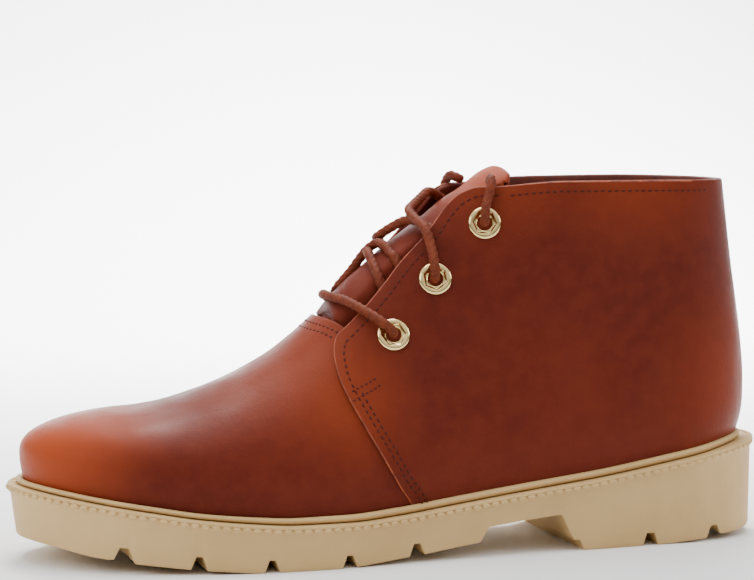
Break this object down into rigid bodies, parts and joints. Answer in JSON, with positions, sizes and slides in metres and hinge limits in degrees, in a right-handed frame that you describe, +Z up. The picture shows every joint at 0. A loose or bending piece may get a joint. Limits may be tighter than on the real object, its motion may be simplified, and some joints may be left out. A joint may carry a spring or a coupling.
{
  "type": "chukka boot",
  "caption": "ankle-high leather boot with an open-laced throat and metal eyelets, on a moulded rubber sole with a low heel, a ribbed rim and a cut tread",
  "frame": {"origin": "on the floor, under the middle of the sole's length and width", "axes": "+X runs from the toe to the heel, -Y is the outer side of the foot, +Z is up"},
  "size_m": [0.288, 0.1027, 0.141],
  "materials": {
    "leather": "smooth rust-brown pull-up leather, waxed to a soft gloss, lighter where it stretches",
    "lining": "matte brown lining leather",
    "rubber": "matte beige moulded rubber",
    "metal": "polished pale gold",
    "lace": "round waxed braid"
  },
  "bodies": {
    "root": {"outsole": "rubber", "welt": "rubber", "insole": "lining", "upper": "leather", "quarter_outer": "leather", "quarter_inner": "leather", "tongue": "leather", "eyelet_outer_1": "metal", "eyelet_outer_2": "metal", "eyelet_outer_3": "metal", "eyelet_inner_1": "metal", "eyelet_inner_2": "metal", "eyelet_inner_3": "metal", "lace_bar": "lace", "lace_crossings": "lace", "lace_end_outer": "lace", "lace_end_inner": "lace"}
  },
  "joints": []
}
